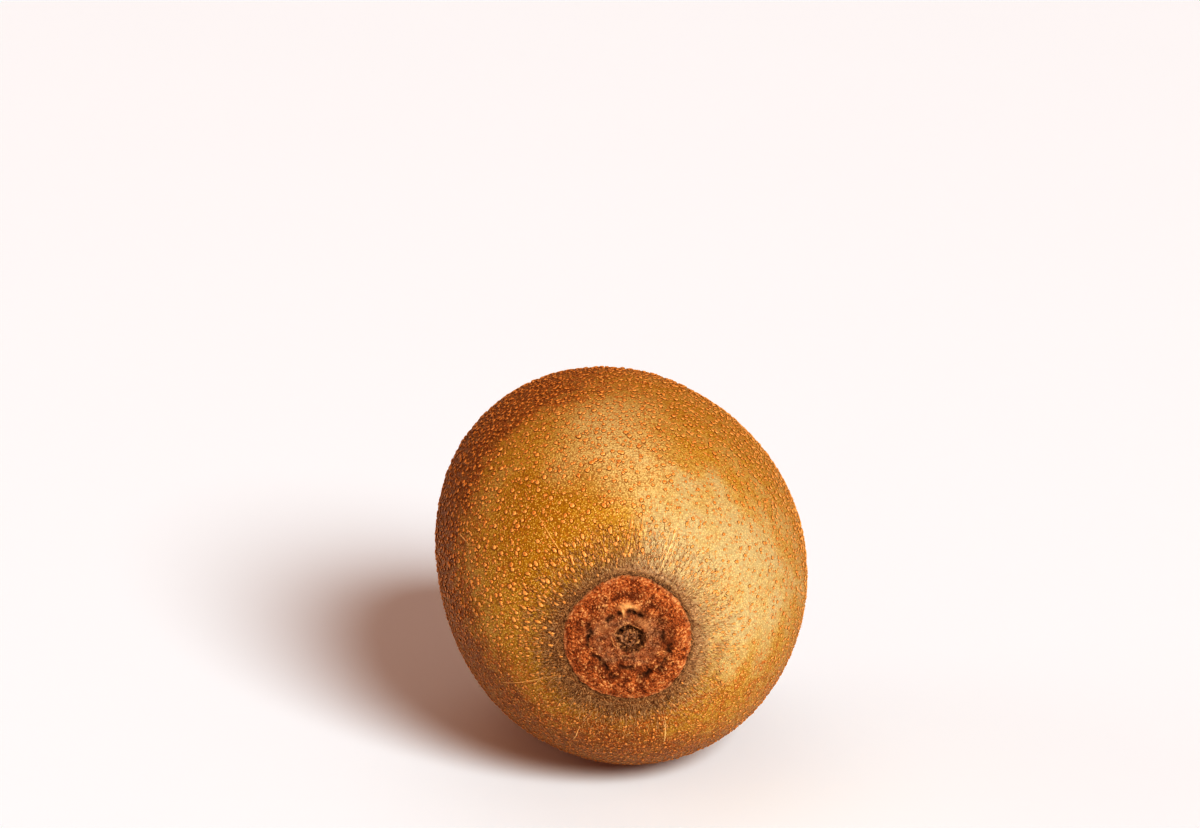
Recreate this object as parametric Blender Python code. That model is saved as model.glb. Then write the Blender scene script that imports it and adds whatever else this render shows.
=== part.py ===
"""A whole golden kiwi fruit lying on its side, in metres, +Z up, with its stem end towards -Y.

The body is a blunt oval turned about Y. Its cross-section is a slightly leaning ellipse with three
soft lobes. The corky stem scar, the dried flower crown at the far end and the lenticels that cover
the skin are relief, raised along the body's outward normal. The lenticels are fewer and larger than
life. The underside is cut flat where the fruit rests, and the origin is under its middle.

`around` is an angle about the fruit's axis, from +Z towards +X. `polar` is the angle from the stem
pole, from 0 at the stem to pi at the flower end.
"""

import math
import random

import bmesh
import bpy
from mathutils import Vector

MM = 0.001

# The smooth body.
HALF_LENGTH = 36.5 * MM
HALF_BROAD = 28.27 * MM  # across the broad way of the cross-section
HALF_NARROW = 26.23 * MM  # across its narrow way
BROAD_WAY = math.radians(-42)  # where the broad way points
BLUNTNESS = 2.32  # 2 is an ellipse, and more is squarer at the shoulders
TAPER = 0.04  # how much slimmer the stem half is than the flower half
LOBES = ((3, 0.0105, math.radians(-129)), (5, 0.0022, math.radians(45)))  # count, share, phase
FLAT_DEPTH = 0.60 * MM  # how far the underside is cut away to make the resting spot

# The stem scar: a corky disc round the pit that the stalk came out of. Places and widths of its
# relief are given as shares of the scar's own radius.
SCAR_RADIUS = 9.0 * MM
SCAR_OUTLINE = ((1, 0.030, math.radians(120)), (3, 0.012, math.radians(40)), (5, 0.010, 0.0))
SCAR_REACH = 1.40  # the relief fades into the skin here
SCAR_RING_STEP = 0.056
SCAR_POINT_STEP = 1.05 * MM
PIT_EDGE = 0.21
PIT_WALL = 0.11
PIT_DEPTH = 1.25 * MM
PIT_CORE_WIDTH = 0.07
PIT_CORE_HEIGHT = 0.60 * MM  # the torn strands that stand up in the pit
PIT_RIM_PLACE = 0.245
PIT_RIM_WIDTH = 0.05
PIT_RIM_HEIGHT = 0.40 * MM
STAR_EDGE = 0.57  # the star-shaped floor inside the collar ends here
STAR_OUTLINE = ((2, -0.14, 0.0), (5, 0.07, 0.6))
STAR_DEPTH = 0.22 * MM
STAR_WALL = 0.10
GROOVE_NOTCHES = ((6, 0.65, -0.5),)
GROOVE_WIDTH = 0.06
GROOVE_DEPTH = 0.38 * MM
COLLAR_PLACE = 0.80
COLLAR_WIDTH = 0.19
COLLAR_HEIGHT = 0.38 * MM
TRENCH_PLACE = 1.05
TRENCH_WIDTH = 0.045
TRENCH_DEPTH = 0.34 * MM
VELVET_PLACE = 1.20
VELVET_WIDTH = 0.10
VELVET_HEIGHT = 0.16 * MM

# The flower end: a shallow dimple, a low ring and the ribbed crown of dried styles.
DIMPLE_FLOOR = 2.4 * MM
DIMPLE_RADIUS = 8.0 * MM
DIMPLE_DEPTH = 0.85 * MM
CROWN_RING = 4.2 * MM
CROWN_RING_WIDTH = 0.8 * MM
CROWN_RING_HEIGHT = 0.55 * MM
CROWN_TOP = 1.0 * MM
CROWN_RADIUS = 2.3 * MM
CROWN_OUTLINE = ((7, 0.16, 0.4), (3, 0.08, 1.1))
CROWN_HEIGHT = 1.35 * MM
CROWN_RING_STEP = 0.5 * MM
CROWN_POINT_STEP = 0.85 * MM
FEWEST_ROUND = 7  # points in the smallest ring

# The lenticels, and the plain points between them that keep the skin round.
LENTICELS = 700
LENTICEL_HEIGHT = 0.32 * MM
LENTICEL_HALF = 0.72 * MM
LENTICEL_STRETCH = 0.55  # how much longer than wide they are beside the stem scar
STRETCH_FULL = 0.5  # the polar angle up to which they are stretched in full
STRETCH_END = 1.2  # and where they are round
LENTICEL_SHIFT = 0.3  # how far one may be from its even place, as a share of the spacing
LENTICEL_VARIETY = (0.8, 1.2)
LENTICEL_CLEAR = 1.3 * MM  # how far they keep from the relief at both ends
PLAIN_POINTS = 2300
PLAIN_CLEAR = 1.55 * MM  # how far the plain points keep from the middle of a lenticel
SEED = 11

SKIN_COLOUR = (0.42, 0.23, 0.055, 1.0)
SKIN_ROUGHNESS = 0.5
GOLDEN_ANGLE = math.pi * (3 - math.sqrt(5))
HALVINGS = 40


def waves(angle, terms):
    """1 plus a sum of cosines, each given as count, share and phase."""
    return 1 + sum(share * math.cos(count * angle - phase) for count, share, phase in terms)


def bump(value, middle, width):
    """A smooth hump, 1 at its middle and next to nothing two widths away."""
    return math.exp(-(((value - middle) / width) ** 2))


def rise(value, start, end):
    """0 before start, 1 after end, and smooth between."""
    share = min(1.0, max(0.0, (value - start) / (end - start)))
    return share * share * (3 - 2 * share)


def half_across(around):
    """Half the fruit's thickness at its middle, in one direction about the axis."""
    turned = around - BROAD_WAY
    oval = HALF_BROAD * HALF_NARROW
    oval /= math.hypot(HALF_NARROW * math.cos(turned), HALF_BROAD * math.sin(turned))
    return oval * waves(around, LOBES)


def blunt_oval(polar):
    """The body's outline in a plane through its axis: shares of half the length and thickness."""
    along, across = math.cos(polar), math.sin(polar)
    reach = (abs(along) ** BLUNTNESS + abs(across) ** BLUNTNESS) ** (-1 / BLUNTNESS)
    return reach * along, reach * across * (1 - TAPER * along)


def distance_from_axis(polar, around):
    """How far the smooth skin is from the fruit's axis."""
    return half_across(around) * blunt_oval(polar)[1]


def skin_point(polar, around):
    """A point of the smooth body."""
    along, across = blunt_oval(polar)
    out = half_across(around) * across
    return Vector((out * math.sin(around), -HALF_LENGTH * along, out * math.cos(around)))


def outward(point, around):
    """The smooth body's outward direction at one of its points."""
    half = half_across(around)
    out = (math.hypot(point.x, point.z) / half) ** (BLUNTNESS - 1) / half
    along = (abs(point.y) / HALF_LENGTH) ** (BLUNTNESS - 1) / HALF_LENGTH
    slope = Vector((out * math.sin(around), math.copysign(along, point.y), out * math.cos(around)))
    return slope.normalized()


def polar_at(distance, around, stem_end):
    """The polar angle where the skin of one end is this far from the axis, by halving."""
    low, high = 0.0, math.pi / 2
    for _ in range(HALVINGS):
        middle = (low + high) / 2
        polar = middle if stem_end else math.pi - middle
        if distance_from_axis(polar, around) < distance:
            low = middle
        else:
            high = middle
    return low if stem_end else math.pi - low


def stem_relief(distance, around):
    """Height of the stem scar's relief: pit, star-shaped floor, collar, trench and velvet ring."""
    share = distance / (SCAR_RADIUS * waves(around, SCAR_OUTLINE))
    star = STAR_EDGE * waves(around, STAR_OUTLINE)
    height = -PIT_DEPTH * (1 - rise(share, PIT_EDGE - PIT_WALL, PIT_EDGE))
    height += PIT_CORE_HEIGHT * bump(share, 0.0, PIT_CORE_WIDTH)
    height += PIT_RIM_HEIGHT * bump(share, PIT_RIM_PLACE, PIT_RIM_WIDTH)
    height -= STAR_DEPTH * (1 - rise(share, star, star + STAR_WALL))
    height -= GROOVE_DEPTH * waves(around, GROOVE_NOTCHES) * bump(share, star, GROOVE_WIDTH)
    height += COLLAR_HEIGHT * bump(share, COLLAR_PLACE, COLLAR_WIDTH)
    height -= TRENCH_DEPTH * bump(share, TRENCH_PLACE, TRENCH_WIDTH)
    height += VELVET_HEIGHT * bump(share, VELVET_PLACE, VELVET_WIDTH)
    return height


def flower_relief(distance, around):
    """Height of the flower end's relief: dimple, low ring and ribbed crown."""
    crown_edge = CROWN_RADIUS * waves(around, CROWN_OUTLINE)
    height = -DIMPLE_DEPTH * (1 - rise(distance, DIMPLE_FLOOR, DIMPLE_RADIUS))
    height += CROWN_RING_HEIGHT * bump(distance, CROWN_RING, CROWN_RING_WIDTH)
    height += CROWN_HEIGHT * (1 - rise(distance, CROWN_TOP, crown_edge))
    return height


def relief(point, around):
    """Height of whichever end's relief reaches this point of the smooth body."""
    distance = math.hypot(point.x, point.z)
    return stem_relief(distance, around) if point.y < 0 else flower_relief(distance, around)


def end_points(stem_end):
    """Points in rings round one pole, each as polar, around and extra height."""
    points = [(0.0 if stem_end else math.pi, 0.0, 0.0)]
    step = SCAR_RING_STEP * SCAR_RADIUS if stem_end else CROWN_RING_STEP
    point_step = SCAR_POINT_STEP if stem_end else CROWN_POINT_STEP
    last = SCAR_REACH * SCAR_RADIUS if stem_end else DIMPLE_RADIUS
    for ring in range(1, round(last / step) + 1):
        count = max(FEWEST_ROUND, round(math.tau * ring * step / point_step))
        for number in range(count):
            around = math.tau * number / count + ring * GOLDEN_ANGLE
            outline = waves(around, SCAR_OUTLINE) if stem_end else 1.0
            points.append((polar_at(ring * step * outline, around, stem_end), around, 0.0))
    return points


def spread(count, shift, draw):
    """Even places on the skin between the relief of the two ends, each moved by a seeded shift."""
    first = polar_at(SCAR_REACH * SCAR_RADIUS + LENTICEL_CLEAR, 0.0, True)
    last = polar_at(DIMPLE_RADIUS + LENTICEL_CLEAR, 0.0, False)
    reach = shift * math.sqrt(4 * math.pi / count)
    for number in range(count):
        polar = math.acos(1 - 2 * (number + 0.5) / count) + draw.uniform(-reach, reach)
        around = number * GOLDEN_ANGLE + draw.uniform(-reach, reach)
        if first < polar < last:
            yield polar, around


def lenticel_points(places, draw):
    """Each lenticel as a raised middle and four points round it, longest along the fruit."""
    points = []
    for polar, around in places:
        size = LENTICEL_HALF * draw.uniform(*LENTICEL_VARIETY)
        near_stem = 1 - rise(polar, STRETCH_FULL, STRETCH_END)
        along = size * (1 + LENTICEL_STRETCH * near_stem) / HALF_LENGTH
        across = size / distance_from_axis(polar, around)
        points.append((polar, around, LENTICEL_HEIGHT * draw.uniform(*LENTICEL_VARIETY)))
        points += [(polar + along, around, 0.0), (polar - along, around, 0.0)]
        points += [(polar, around + across, 0.0), (polar, around - across, 0.0)]
    return points


def plain_points(places, draw):
    """Points of bare skin wherever no lenticel is near."""
    middles = [skin_point(polar, around) for polar, around in places]
    points = []
    for polar, around in spread(PLAIN_POINTS, 0.0, draw):
        here = skin_point(polar, around)
        if all((here - middle).length > PLAIN_CLEAR for middle in middles):
            points.append((polar, around, 0.0))
    return points


def covered_ball(points):
    """A ball of triangles with a corner at each point, and each corner's place on the fruit."""
    fruit = bmesh.new()
    places = {}
    for polar, around, lift in points:
        out = math.sin(polar)
        corner = fruit.verts.new((out * math.sin(around), -math.cos(polar), out * math.cos(around)))
        base = skin_point(polar, around)
        places[corner] = base + outward(base, around) * (relief(base, around) + lift)
    bmesh.ops.convex_hull(fruit, input=fruit.verts[:])
    return fruit, places


def cut_resting_spot(fruit, floor):
    """Cuts the underside flat at one height and closes it with a single face."""
    everything = fruit.verts[:] + fruit.edges[:] + fruit.faces[:]
    below = Vector((0, 0, -1))
    cut = bmesh.ops.bisect_plane(
        fruit, geom=everything, plane_co=(0, 0, floor), plane_no=below, clear_outer=True
    )
    rim = [piece for piece in cut["geom_cut"] if isinstance(piece, bmesh.types.BMEdge)]
    bmesh.ops.contextual_create(fruit, geom=rim)
    for edge in rim:
        for corner in edge.verts:
            corner.co.z = floor


def centre_over_origin(fruit):
    """Moves the fruit so that it stands at height 0 with its box's middle over the origin."""
    low = Vector(min(corner.co[axis] for corner in fruit.verts) for axis in range(3))
    high = Vector(max(corner.co[axis] for corner in fruit.verts) for axis in range(3))
    shift = Vector((-(low.x + high.x) / 2, -(low.y + high.y) / 2, -low.z))
    bmesh.ops.translate(fruit, vec=shift, verts=fruit.verts[:])


def skin_material():
    """The matt golden-brown skin."""
    material = bpy.data.materials.new("golden_skin")
    material.use_nodes = True
    shader = material.node_tree.nodes["Principled BSDF"]
    shader.inputs["Base Color"].default_value = SKIN_COLOUR
    shader.inputs["Roughness"].default_value = SKIN_ROUGHNESS
    shader.inputs["Metallic"].default_value = 0.0
    return material


def make_kiwi():
    """The whole fruit as one closed mesh object."""
    draw = random.Random(SEED)
    lenticels = list(spread(LENTICELS, LENTICEL_SHIFT, draw))
    points = end_points(stem_end=True) + end_points(stem_end=False)
    points += lenticel_points(lenticels, draw) + plain_points(lenticels, draw)
    fruit, places = covered_ball(points)
    for corner, place in places.items():
        corner.co = place
    lowest = min(skin_point(polar, around).z for polar, around, _ in points)
    cut_resting_spot(fruit, lowest + FLAT_DEPTH)
    centre_over_origin(fruit)
    bmesh.ops.recalc_face_normals(fruit, faces=fruit.faces[:])
    mesh = bpy.data.meshes.new("golden_kiwi")
    fruit.to_mesh(mesh)
    fruit.free()
    mesh.shade_smooth()
    mesh.materials.append(skin_material())
    kiwi = bpy.data.objects.new("golden_kiwi", mesh)
    bpy.context.scene.collection.objects.link(kiwi)
    return kiwi


def main():
    for old in list(bpy.data.objects):
        bpy.data.objects.remove(old)
    make_kiwi()


main()
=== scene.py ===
"""Looks of a whole golden kiwi fruit that lies on its side on a pale floor, its stem end to the front.

The skin, the corky stem scar, the lenticels, the fuzz and the dried flower crown are meshes worked out
here from the same formula as the fruit's solid, in metres, +Z up. `around` is an angle about the
fruit's axis, from +Z towards +X. `polar` is the angle from the stem pole, pi at the flower end.
`share` is a distance from the axis as a share of the stem scar's radius.
"""

import math
from itertools import product

import bpy
import numpy as np
from mathutils import Matrix, Vector


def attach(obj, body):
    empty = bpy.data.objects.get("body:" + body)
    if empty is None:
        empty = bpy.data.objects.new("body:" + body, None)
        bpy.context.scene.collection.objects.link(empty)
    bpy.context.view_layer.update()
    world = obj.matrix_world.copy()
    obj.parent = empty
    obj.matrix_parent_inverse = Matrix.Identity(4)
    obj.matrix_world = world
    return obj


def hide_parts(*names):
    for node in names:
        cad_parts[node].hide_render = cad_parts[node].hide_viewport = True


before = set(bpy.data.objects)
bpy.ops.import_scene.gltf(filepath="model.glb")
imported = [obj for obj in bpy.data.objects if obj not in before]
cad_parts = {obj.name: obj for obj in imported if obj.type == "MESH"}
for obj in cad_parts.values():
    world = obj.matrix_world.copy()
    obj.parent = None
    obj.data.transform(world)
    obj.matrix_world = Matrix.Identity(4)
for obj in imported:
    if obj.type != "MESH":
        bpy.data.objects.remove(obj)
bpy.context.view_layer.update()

MM = 0.001
NODE = "golden_kiwi"
GOLDEN_ANGLE = math.pi * (3 - math.sqrt(5))

# The smooth body, as in the solid.
HALF_LENGTH = 36.5 * MM
HALF_BROAD = 28.27 * MM
HALF_NARROW = 26.23 * MM
BROAD_WAY = math.radians(-42)
BLUNTNESS = 2.32
TAPER = 0.04
LOBES = ((3, 0.0105, math.radians(-129)), (5, 0.0022, math.radians(45)))
BODY_MIDDLE = np.array((-0.20065, -0.20899, 26.93569)) * MM  # the middle of its axis in the frame
SCAR_RADIUS = 8.56 * MM  # the visible edge of the cork
SCAR_OUTLINE = ((1, 0.042, math.radians(108)), (3, 0.012, math.radians(40)), (5, 0.010, 0.0))

# The camera: lens and sensor width in mm, its distance from the fruit, and how it looks down and aside.
IMAGE_WIDTH, IMAGE_HEIGHT = 1200, 828
LENS, SENSOR = 100.0, 36.0
CAMERA_DISTANCE = 489.8 * MM
FRUIT_PIXEL = (620.0, 563.8)  # where the middle of the fruit's axis lies in the image
CAMERA_PITCH = math.radians(14.05)
CAMERA_YAW = math.radians(0.84)


# Formulas of the shape.

def from_axis(point):
    """How far points of the body's frame are from the fruit's axis."""
    return np.hypot(point[..., 0], point[..., 2])


def waves(angle, terms):
    """1 plus a sum of cosines, each given as count, share and phase."""
    return 1 + sum(share * np.cos(count * angle - phase) for count, share, phase in terms)


def bump(value, middle, width):
    """A smooth hump, 1 at its middle and next to nothing two widths away."""
    return np.exp(-(((value - middle) / width) ** 2))


def rise(value, start, end):
    """0 before start, 1 after end, and smooth between. With end below start it falls."""
    share = np.clip((value - start) / (end - start), 0.0, 1.0)
    return share * share * (3 - 2 * share)


def half_across(around):
    """Half the fruit's thickness at its middle, in one direction about the axis."""
    turned = around - BROAD_WAY
    oval = HALF_BROAD * HALF_NARROW / np.hypot(HALF_NARROW * np.cos(turned), HALF_BROAD * np.sin(turned))
    return oval * waves(around, LOBES)


def blunt_oval(polar):
    """The body's outline in a plane through its axis: shares of half the length and thickness."""
    along, across = np.cos(polar), np.abs(np.sin(polar))
    reach = (np.abs(along) ** BLUNTNESS + across ** BLUNTNESS) ** (-1 / BLUNTNESS)
    return reach * along, reach * across * (1 - TAPER * along)


def distance_from_axis(polar, around):
    """How far the smooth skin is from the fruit's axis."""
    return half_across(around) * blunt_oval(polar)[1]


def body_point(polar, around):
    """Points of the smooth body, in the body's own frame."""
    along, across = blunt_oval(polar)
    out = half_across(around) * across
    return np.stack((out * np.sin(around), -HALF_LENGTH * along, out * np.cos(around)), axis=-1)


def outward(point, around):
    """The smooth body's outward directions at its points."""
    half = half_across(around)
    out = (from_axis(point) / half) ** (BLUNTNESS - 1) / half
    along = (np.abs(point[..., 1]) / HALF_LENGTH) ** (BLUNTNESS - 1) / HALF_LENGTH
    slope = (out * np.sin(around), np.copysign(along, point[..., 1]), out * np.cos(around))
    return unit(np.stack(slope, axis=-1))


def unit(vectors):
    """The same directions with length 1."""
    return vectors / np.maximum(np.linalg.norm(vectors, axis=-1, keepdims=True), 1e-12)


def polar_at(distance, around):
    """The polar angles where the skin of the stem end is this far from the axis, by halving."""
    low = np.zeros(np.broadcast(distance, around).shape)
    high = np.full_like(low, math.pi / 2)
    for _ in range(40):
        middle = (low + high) / 2
        below = distance_from_axis(middle, around) < distance
        low, high = np.where(below, middle, low), np.where(below, high, middle)
    return low


def share_of(point, around):
    """Distance from the axis as a share of the scar's radius, and a large number at the far end."""
    share = from_axis(point) / (SCAR_RADIUS * waves(around, SCAR_OUTLINE))
    return np.where(point[..., 1] < 0, share, 9.0)


# Steady random numbers and noise.

def hashed(cells, seed):
    """A steady random number from 0 to 1 for each whole-number cell."""
    mixed = cells[..., 0] * 374761393 + cells[..., 1] * 668265263 + cells[..., 2] * 1274126177
    mixed = mixed + seed * 69069 + 1013904223
    mixed = (mixed ^ (mixed >> 13)) * 1103515245
    mixed = (mixed ^ (mixed >> 16)) * 69069
    return ((mixed ^ (mixed >> 15)) & 0xFFFFFF) / 0xFFFFFF


def noise(points, size, seed):
    """Smooth noise from -1 to 1 with lumps about `size` mm across."""
    scaled = points / (size * MM)
    cell = np.floor(scaled).astype(np.int64)
    part = scaled - cell
    part = part * part * (3 - 2 * part)
    total = np.zeros(points.shape[:-1])
    for corner in product((0, 1), repeat=3):
        weight = np.prod(np.where(np.array(corner) == 1, part, 1 - part), axis=-1)
        total += weight * hashed(cell + np.array(corner), seed)
    return 2 * total - 1


def layered_noise(points, size, seed, layers=3):
    """Noise with finer layers added, each half the size and strength of the one before."""
    total = sum(noise(points, size / 2 ** layer, seed + layer) / 2 ** layer for layer in range(layers))
    return total / sum(0.5 ** layer for layer in range(layers))


def grains(points, size, seed):
    """For each point, its distance from the middle of its grain in shares of the grains' `size`, given
    in mm, and the grain's own random number."""
    scaled = points / (size * MM)
    cell = np.floor(scaled).astype(np.int64)
    nearest = np.full(points.shape[:-1], 9.0)
    tone = np.zeros(points.shape[:-1])
    for step in product((-1, 0, 1), repeat=3):
        near = cell + np.array(step)
        middle = near + np.stack([hashed(near, seed + axis) for axis in range(3)], axis=-1)
        distance = np.linalg.norm(middle - scaled, axis=-1)
        closer = distance < nearest
        tone = np.where(closer, hashed(near, seed + 7), tone)
        nearest = np.where(closer, distance, nearest)
    return nearest, tone


# The relief of the skin and of the scar.

# Places given as shares of the scar's radius.
TRENCH_PLACE = 1.045
SKIN_START = 1.03  # the skin's mesh starts inside the trench round the scar
SCAR_END = 1.10  # and the scar's mesh ends beyond it, under the skin

RADIAL_REACH = 10 * MM  # the radius at which noise drawn out along lines from the stem is looked up
CROWN_RADIUS = 5 * MM  # no lenticels nearer to the flower pole

# How high and how deep the forms of the skin are.
VELVET_HEIGHT = 0.15 * MM
STRAND_HEIGHT = 0.045 * MM
TRENCH_DEPTH = 0.22 * MM
DIMPLE_DEPTH = 0.85 * MM
FLOWER_RING_HEIGHT = 0.50 * MM
CROWN_HEIGHT = 1.0 * MM
WRINKLE_HEIGHT = 0.10 * MM

# And those of the scar.
PIT_DEPTH = 0.58 * MM
PIT_TEAR = 0.70 * MM
PIT_RIM_HEIGHT = 0.24 * MM
ISLAND_HEIGHT = 0.46 * MM
FLOOR_DEPTH = 0.30 * MM
GROOVE_DEPTH = 0.36 * MM
COLLAR_HEIGHT = 0.42 * MM
FLAKE_HEIGHT = 0.30 * MM
RIDGE_HEIGHT = 0.16 * MM
EDGE_DROP = 0.38 * MM


def skin_relief(point, around):
    """Height of everything on the skin's mesh: soft dents, velvet ring, trench and flower end."""
    share = share_of(point, around)
    height = 0.10 * MM * noise(point, 11, 3) + 0.05 * MM * noise(point, 4.5, 5)
    height += 0.02 * MM * noise(point, 1.6, 6)
    height += velvet_relief(point, share, around)
    uneven = 0.65 + 0.45 * noise(point, 2.2, 23)
    height -= TRENCH_DEPTH * uneven * trench_strength(around) * bump(share, TRENCH_PLACE - 0.01, 0.040)
    return height + np.where(point[..., 1] > 0, flower_relief(point, around), 0.0)


def velvet_relief(point, share, around):
    """Height of the velvet ring round the scar and of the strands on it."""
    distance = from_axis(point)
    ring = rise(share, 1.06, 1.13) * (1 - rise(share, 1.15, 1.62))
    strands = layered_noise(radial_places(around, distance, 6.0), 0.45, 21, 2)
    strands *= rise(share, 1.0, 1.1) * (1 - rise(share, 1.3, 2.1))
    return ring * (VELVET_HEIGHT + 0.03 * MM * noise(point, 0.5, 22)) + STRAND_HEIGHT * strands


def flower_relief(point, around):
    """Height of the flower end: a dimple with a ring, a rough crown and wrinkles."""
    distance = from_axis(point)
    dimple = 1 - rise(distance, 2.4 * MM, 8.0 * MM)
    ring = bump(distance, 4.2 * MM * (1 + 0.06 * np.cos(5 * around)), 0.8 * MM)
    crown = 1 - rise(distance, 1.0 * MM, 2.3 * MM * waves(around, ((7, 0.16, 0.4), (3, 0.08, 1.1))))
    places = np.stack((4 * MM * around, 0.3 * distance, 0 * around), axis=-1)
    wrinkles = WRINKLE_HEIGHT * layered_noise(places, 0.7, 31, 2)
    height = -DIMPLE_DEPTH * dimple + FLOWER_RING_HEIGHT * ring + CROWN_HEIGHT * crown
    return height + wrinkles * (1 - rise(distance, 4 * MM, 9 * MM))


def trench_strength(around):
    """The groove round the scar is deep above it and to its left, and shallow elsewhere."""
    left_below = bump(np.cos(around - math.radians(-128)), 1.0, 0.25)
    return np.clip(0.25 + 0.75 * rise(np.cos(around + 0.15), 0.25, 0.75) + 0.7 * left_below, 0, 1)


def radial_places(around, distance, stretch):
    """Places for noise whose lumps are drawn out along lines from the stem."""
    across, up = RADIAL_REACH * np.cos(around), RADIAL_REACH * np.sin(around)
    return np.stack((across, up, distance / stretch), axis=-1)


def star_edge(around):
    """Where the floor inside the collar ends, as a share of the scar's radius."""
    terms = ((2, -0.17, 0.0), (5, 0.05, 0.6), (3, 0.04, math.radians(170)), (7, 0.03, 2.0))
    return 0.56 * waves(around, terms)


def on_frame(points):
    """Points of the body's frame, moved to the fruit's place and kept above the floor."""
    placed = points + BODY_MIDDLE
    placed[..., 2] = np.maximum(placed[..., 2], 0.0)
    return placed


# Meshes.

def make_mesh(name, corners, faces, numbers=None):
    """A smooth mesh object from corner places, faces and named numbers for each corner."""
    mesh = bpy.data.meshes.new(name)
    mesh.from_pydata(corners.tolist(), [], faces.tolist() if isinstance(faces, np.ndarray) else faces)
    for label, values in (numbers or {}).items():
        layer = mesh.attributes.new(label, "FLOAT", "POINT")
        layer.data.foreach_set("value", np.asarray(values, dtype=np.float32))
    mesh.shade_smooth()
    mesh.validate()
    piece = bpy.data.objects.new(name, mesh)
    bpy.context.scene.collection.objects.link(piece)
    return piece


def grid_faces(rows, columns, closed):
    """Quads of a grid of corners, row by row, joined round if closed."""
    row = np.arange(rows - 1)[:, None] * columns
    column = np.arange(columns if closed else columns - 1)[None, :]
    after = (column + 1) % columns
    quads = np.stack((row + column, row + after, row + columns + after, row + columns + column), axis=-1)
    return quads.reshape(-1, 4)


# The grids of the skin's mesh and of the scar's.
SKIN_COLUMNS = 400
SKIN_ROWS = 244
SCAR_GRID = 260


def skin_rows():
    """How far down each row of the skin's mesh is, from 0 at the scar to 1 at the flower end. The rows
    are closest round the scar and close at the flower end."""
    start = float(polar_at(np.array(SKIN_START * SCAR_RADIUS), np.array(0.0)))
    polar = np.linspace(start, math.pi, 4000)
    points = body_point(polar, np.zeros_like(polar))
    lengths = np.linalg.norm(np.diff(points, axis=0), axis=1)
    from_start = np.concatenate(([0.0], np.cumsum(lengths)))
    to_end = from_start[-1] - from_start
    wanted = 0.14 + 0.30 * rise(from_start, 3 * MM, 16 * MM) - 0.18 * rise(to_end, 14 * MM, 7 * MM)
    steps = np.concatenate(([0.0], np.cumsum(lengths / ((wanted[1:] + wanted[:-1]) / 2))))
    places = np.interp(np.linspace(0, steps[-1], SKIN_ROWS), steps, polar)
    return (places - start) / (math.pi - start)


def make_skin():
    """The whole skin outside the scar."""
    around = np.linspace(0, math.tau, SKIN_COLUMNS, endpoint=False)
    start = polar_at(SKIN_START * SCAR_RADIUS * waves(around, SCAR_OUTLINE), around)
    down = skin_rows()[:, None]
    polar = (start + down * (math.pi - start))[:-1]
    around = np.broadcast_to(around, polar.shape)
    base = body_point(polar, around).reshape(-1, 3)
    turn = around.reshape(-1)
    skin = base + outward(base, turn) * skin_relief(base, turn)[:, None]
    pole = np.array(((0.0, HALF_LENGTH + 0.15 * MM, 0.0),))
    corners = on_frame(np.concatenate((skin, pole)))
    rows = len(polar)
    last = (rows - 1) * SKIN_COLUMNS
    end = [(last + n, last + (n + 1) % SKIN_COLUMNS, len(corners) - 1) for n in range(SKIN_COLUMNS)]
    faces = grid_faces(rows, SKIN_COLUMNS, closed=True)[:, ::-1].tolist() + [face[::-1] for face in end]
    numbers = skin_numbers(np.concatenate((base, pole)), np.append(turn, 0.0))
    return make_mesh("skin", corners, faces, numbers)


# Directions in which the skin differs.
# The least brown side faces the key light: the skin is browner away from it, partly its own browning and
# partly painted shade.
KEY_FACING_SIDE = np.array((0.55, -0.70, 0.45))  # least brown
# The palest gold faces the key light: partly the skin's own pale cheek, partly painted light.
PALE_LIT_SIDE = np.array((0.50, -0.82, 0.28))  # palest gold
GREEN_SIDE = np.array((-0.30, -0.74, 0.60))  # deepest golden olive
SPARSE_SIDE = np.array((0.25, -0.95, 0.20))  # fewest small lenticels
SHEEN_SIDE = np.array((-0.05, -0.40, 0.915))  # a pale painted sheen, a painted highlight

# The masks of the skin that the lenticels carry too.
SKIN_MASKS = ("velvet", "shade", "trench", "brown_and_shade", "olive_and_shade", "painted_sheen")


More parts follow.
